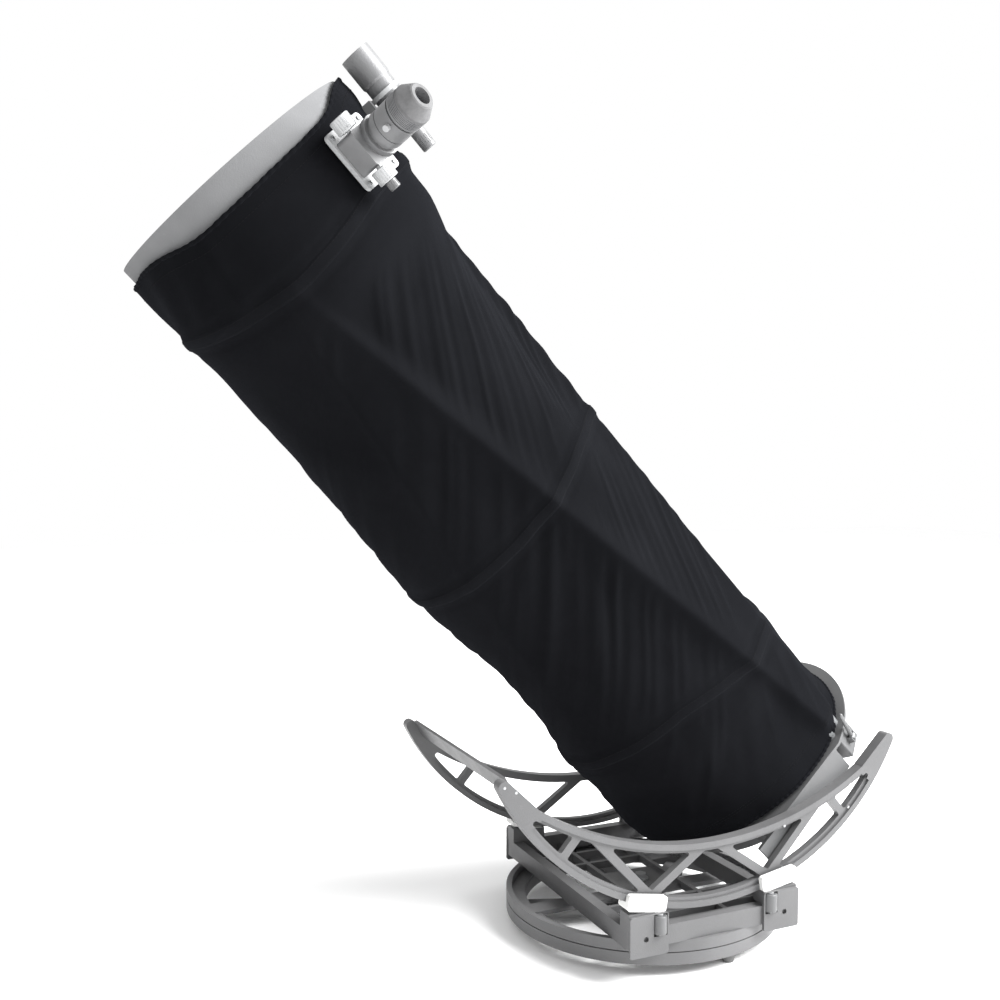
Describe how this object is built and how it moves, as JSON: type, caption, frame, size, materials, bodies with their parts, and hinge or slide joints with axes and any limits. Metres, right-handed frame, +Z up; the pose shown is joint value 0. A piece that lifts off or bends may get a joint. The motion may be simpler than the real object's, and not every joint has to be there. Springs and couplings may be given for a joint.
{
  "type": "dobsonian telescope",
  "caption": "Large truss-tube dobsonian telescope in a stretched black light shroud, on open crescent altitude bearings over a low round rocker base.",
  "frame": {"origin": "On the floor, on the vertical azimuth axis, at the centre of the three feet.", "axes": "+Z is up along the azimuth axis; +Y runs along the altitude axis; at rest the tube points up and towards -X."},
  "size_m": [1.5257, 0.6905, 1.7363],
  "materials": {
    "ring_grey": "satin",
    "frame_grey": "satin",
    "bearing_grey": "satin",
    "saddle_white": "matte",
    "glide_white": "matte",
    "foot_rubber": "matte",
    "roller_nylon": "satin",
    "steel": "satin",
    "pole_aluminium": "satin",
    "cage_grey": "satin",
    "flat_black": "matte",
    "mirror_coat": "polished",
    "shroud_cloth": "matte",
    "focuser_grey": "satin",
    "knob_silver": "satin",
    "eyepiece_black": "satin",
    "lens_glass": "polished",
    "finder_grey": "satin"
  },
  "bodies": {
    "ground": {"ground_ring": "ring_grey", "pivot_bolt": "steel", "azimuth_glides": "glide_white", "rubber_feet": "foot_rubber"},
    "rocker": {"rocker_ring": "ring_grey", "rocker_frame": "frame_grey", "corner_brackets": "frame_grey", "bearing_saddles": "saddle_white", "guide_pins": "steel"},
    "tube": {"bearing_bolts": "steel", "bearing_far": "bearing_grey", "bearing_near": "bearing_grey", "box_flange": "cage_grey", "cage_low_ring": "cage_grey", "cage_posts": "cage_grey", "cage_top_ring": "cage_grey", "fan_housing": "eyepiece_black", "finder_lens": "lens_glass", "finder_rings": "knob_silver", "finder_tube": "finder_grey", "focuser_body": "focuser_grey", "focuser_plate": "focuser_grey", "light_shroud": "shroud_cloth", "mirror_box": "cage_grey", "mirror_cell": "flat_black", "mirror_pads": "foot_rubber", "plate_screws": "steel", "pole_clamps": "cage_grey", "pole_sockets": "cage_grey", "primary_mirror": "mirror_coat", "secondary_holder": "flat_black", "secondary_hub": "flat_black", "secondary_mirror": "mirror_coat", "spider_vanes": "flat_black", "tip_bar": "bearing_grey", "truss_pole_1": "pole_aluminium", "truss_pole_2": "pole_aluminium", "truss_pole_3": "pole_aluminium", "truss_pole_4": "pole_aluminium", "truss_pole_5": "pole_aluminium", "truss_pole_6": "pole_aluminium"},
    "drawtube": {"drawtube": "knob_silver"},
    "clamp_screw": {"clamp_screw": "knob_silver"},
    "coarse_knobs": {"coarse_knobs": "knob_silver"},
    "fine_knob": {"fine_knob": "knob_silver"},
    "eyepiece": {"eyepiece_body": "eyepiece_black", "eyecup": "foot_rubber", "eyepiece_lens": "lens_glass"},
    "finder_eyepiece": {"finder_eyepiece": "finder_grey"},
    "fan_rotor": {"fan_rotor": "eyepiece_black"},
    "guide_roller_1": {"guide_roller_1": "roller_nylon"},
    "guide_roller_2": {"guide_roller_2": "roller_nylon"},
    "guide_roller_3": {"guide_roller_3": "roller_nylon"},
    "guide_roller_4": {"guide_roller_4": "roller_nylon"},
    "collimation_knob_1": {"collimation_knob_1": "knob_silver"},
    "clamp_lever_1": {"clamp_lever_1": "steel"},
    "collimation_knob_2": {"collimation_knob_2": "knob_silver"},
    "clamp_lever_2": {"clamp_lever_2": "steel"},
    "collimation_knob_3": {"collimation_knob_3": "knob_silver"},
    "clamp_lever_3": {"clamp_lever_3": "steel"}
  },
  "joints": [
    {"name": "azimuth", "type": "hinge", "parent": "ground", "child": "rocker", "pos_m": [0, 0, 0.05], "axis": [0, 0, 1], "continuous": true},
    {"name": "altitude", "type": "hinge", "parent": "rocker", "child": "tube", "pos_m": [0, 0, 0.638], "axis": [0, 1, 0], "range_deg": [-45, 44]},
    {"name": "roller_1_spin", "type": "hinge", "parent": "rocker", "child": "guide_roller_1", "pos_m": [0.13, 0.2919, 0.116], "axis": [0, 0, 1], "continuous": true},
    {"name": "roller_2_spin", "type": "hinge", "parent": "rocker", "child": "guide_roller_2", "pos_m": [0.13, -0.2919, 0.116], "axis": [0, 0, 1], "continuous": true},
    {"name": "roller_3_spin", "type": "hinge", "parent": "rocker", "child": "guide_roller_3", "pos_m": [-0.13, 0.2919, 0.116], "axis": [0, 0, 1], "continuous": true},
    {"name": "roller_4_spin", "type": "hinge", "parent": "rocker", "child": "guide_roller_4", "pos_m": [-0.13, -0.2919, 0.116], "axis": [0, 0, 1], "continuous": true},
    {"name": "fan_spin", "type": "hinge", "parent": "tube", "child": "fan_rotor", "pos_m": [0.31218, 0, 0.29026], "axis": [-0.6947, 0, 0.7193], "continuous": true},
    {"name": "collimation_1_turn", "type": "hinge", "parent": "tube", "child": "collimation_knob_1", "pos_m": [0.40975, 0.085, 0.40116], "axis": [-0.6947, 0, 0.7193], "range_deg": [-360, 360]},
    {"name": "collimation_2_turn", "type": "hinge", "parent": "tube", "child": "collimation_knob_2", "pos_m": [0.19794, 0.085, 0.19662], "axis": [-0.6947, 0, 0.7193], "range_deg": [-360, 360]},
    {"name": "collimation_3_turn", "type": "hinge", "parent": "tube", "child": "collimation_knob_3", "pos_m": [0.30384, -0.17, 0.29889], "axis": [-0.6947, 0, 0.7193], "range_deg": [-360, 360]},
    {"name": "lever_1_swing", "type": "hinge", "parent": "tube", "child": "clamp_lever_1", "pos_m": [0.38173, -0.23772, 0.41581], "axis": [0.623, 0.5, 0.6016], "range_deg": [0, 70]},
    {"name": "lever_2_swing", "type": "hinge", "parent": "tube", "child": "clamp_lever_2", "pos_m": [0.08554, 0, 0.12979], "axis": [0, -1, 0], "range_deg": [0, 70]},
    {"name": "lever_3_swing", "type": "hinge", "parent": "tube", "child": "clamp_lever_3", "pos_m": [0.38173, 0.23772, 0.41581], "axis": [-0.623, 0.5, -0.6016], "range_deg": [0, 70]},
    {"name": "drawtube_travel", "type": "slide", "parent": "tube", "child": "drawtube", "axis": [0.3597, -0.866, 0.3473], "range_m": [-0.007, 0.03]},
    {"name": "eyepiece_travel", "type": "slide", "parent": "drawtube", "child": "eyepiece", "axis": [0.3597, -0.866, 0.3473], "range_m": [0, 0.028]},
    {"name": "clamp_screw_turn", "type": "hinge", "parent": "drawtube", "child": "clamp_screw", "pos_m": [-0.67243, -0.33197, 1.53589], "axis": [-0.623, -0.5, -0.6016], "range_deg": [-180, 180]},
    {"name": "coarse_focus_turn", "type": "hinge", "parent": "tube", "child": "coarse_knobs", "pos_m": [-0.69972, -0.28227, 1.50954], "axis": [0.6947, 0, -0.7193], "range_deg": [-46, 192]},
    {"name": "fine_focus_turn", "type": "hinge", "parent": "tube", "child": "fine_knob", "pos_m": [-0.65109, -0.28227, 1.45919], "axis": [0.6947, 0, -0.7193], "continuous": true},
    {"name": "finder_focus_turn", "type": "hinge", "parent": "tube", "child": "finder_eyepiece", "pos_m": [-0.57093, -0.14255, 1.6075], "axis": [-0.6947, 0, 0.7193], "range_deg": [-180, 180]}
  ],
  "couplings": [
    {"joint": "coarse_focus_turn", "follows": "drawtube_travel", "rad_per_m": 110},
    {"joint": "fine_focus_turn", "follows": "drawtube_travel", "rad_per_m": 1100},
    {"joint": "roller_1_spin", "follows": "altitude", "ratio": -37.286},
    {"joint": "roller_2_spin", "follows": "altitude", "ratio": 37.286},
    {"joint": "roller_3_spin", "follows": "altitude", "ratio": -37.286},
    {"joint": "roller_4_spin", "follows": "altitude", "ratio": 37.286}
  ]
}
